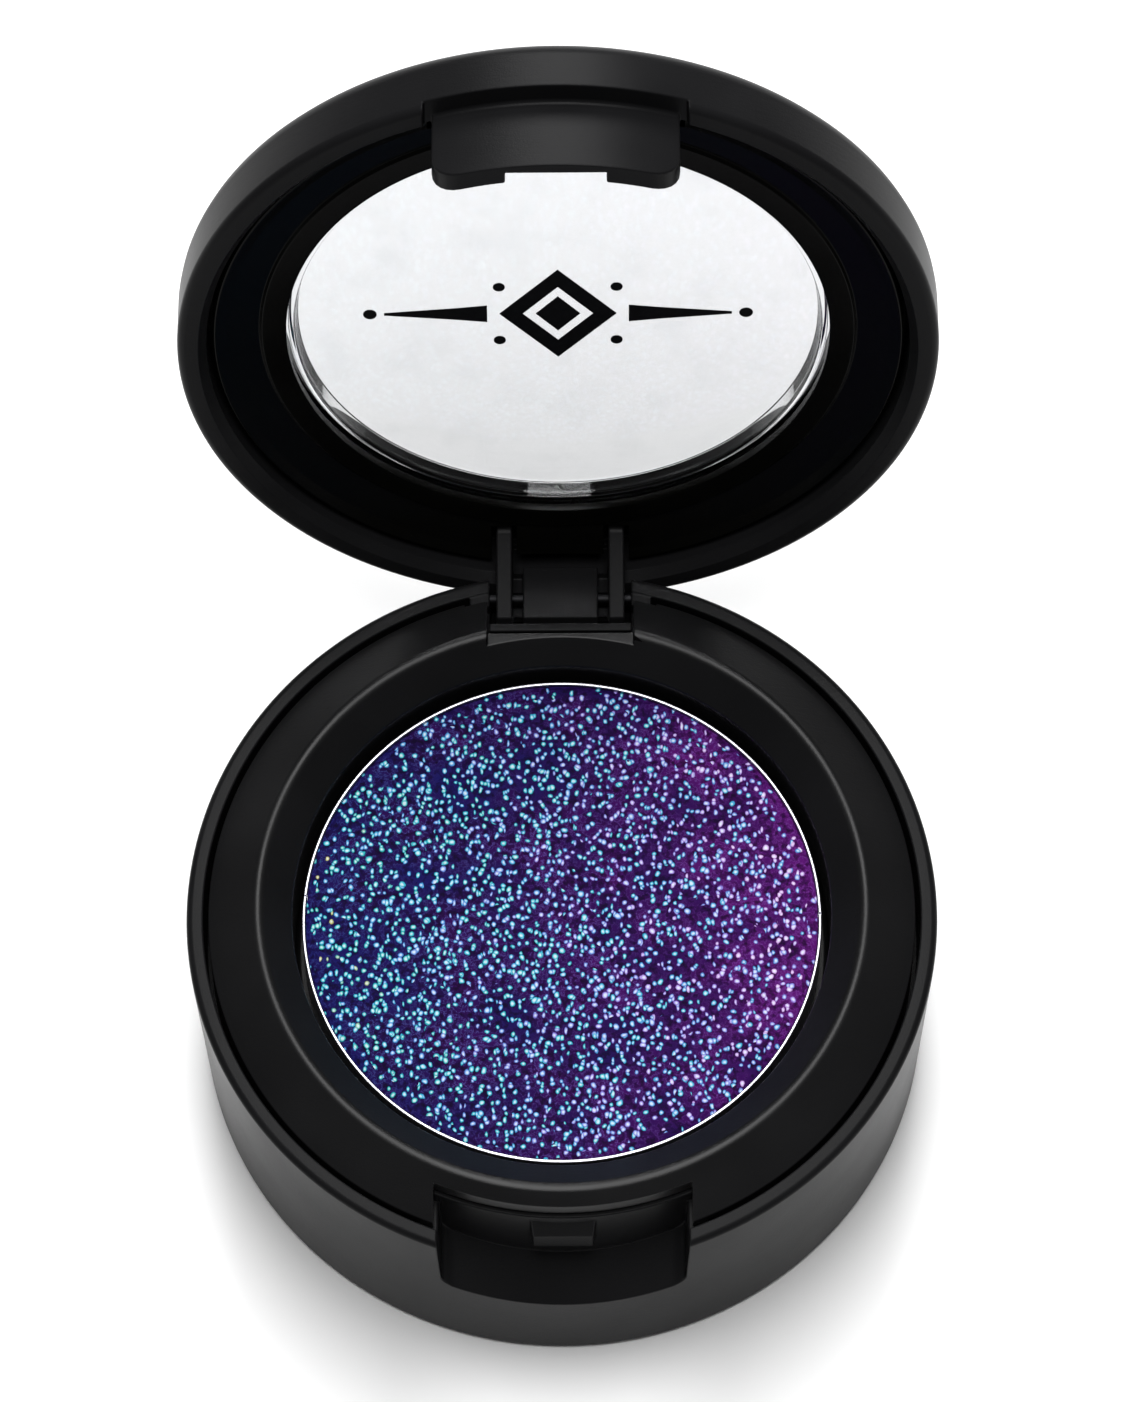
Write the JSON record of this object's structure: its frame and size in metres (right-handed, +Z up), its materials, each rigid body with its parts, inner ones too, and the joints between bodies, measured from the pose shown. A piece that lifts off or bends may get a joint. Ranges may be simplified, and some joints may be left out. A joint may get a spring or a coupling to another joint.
{
  "type": "eyeshadow compact",
  "caption": "Round black single-pan eyeshadow compact with a hinged windowed lid shown open, a front thumb notch and a violet glitter shadow in a metal pan.",
  "frame": {"origin": "centre of the flat underside of the base", "axes": "+Z up out of the base, +Y from the centre towards the lid's hinge, +X to the right seen from the front tab side"},
  "size_m": [0.0376, 0.0497, 0.0471],
  "materials": {
    "case_plastic": "satin black moulded plastic",
    "ring_plastic": "smooth black moulded plastic",
    "pan_metal": "bright pressed metal",
    "pin_steel": "drawn steel wire",
    "shadow": "violet pressed shadow with turquoise and lilac glitter",
    "window": "clear moulded plastic",
    "glue": "adhesive film",
    "label": "blank coated paper",
    "black_glue": "black adhesive film"
  },
  "bodies": {
    "base": {"base_shell": "case_plastic", "pan_holder": "case_plastic", "shadow_pan": "pan_metal", "pressed_shadow": "shadow", "pan_adhesive": "glue", "hinge_pin": "pin_steel", "base_label": "label"},
    "lid": {"lid_shell": "case_plastic", "lid_inner_ring": "ring_plastic", "window_adhesive": "black_glue", "lid_window": "window"}
  },
  "joints": [
    {"name": "lid_hinge", "type": "hinge", "parent": "base", "child": "lid", "pos_m": [0, 0.0175, 0.01245], "axis": [1, 0, 0], "range_deg": [0, 105]}
  ]
}
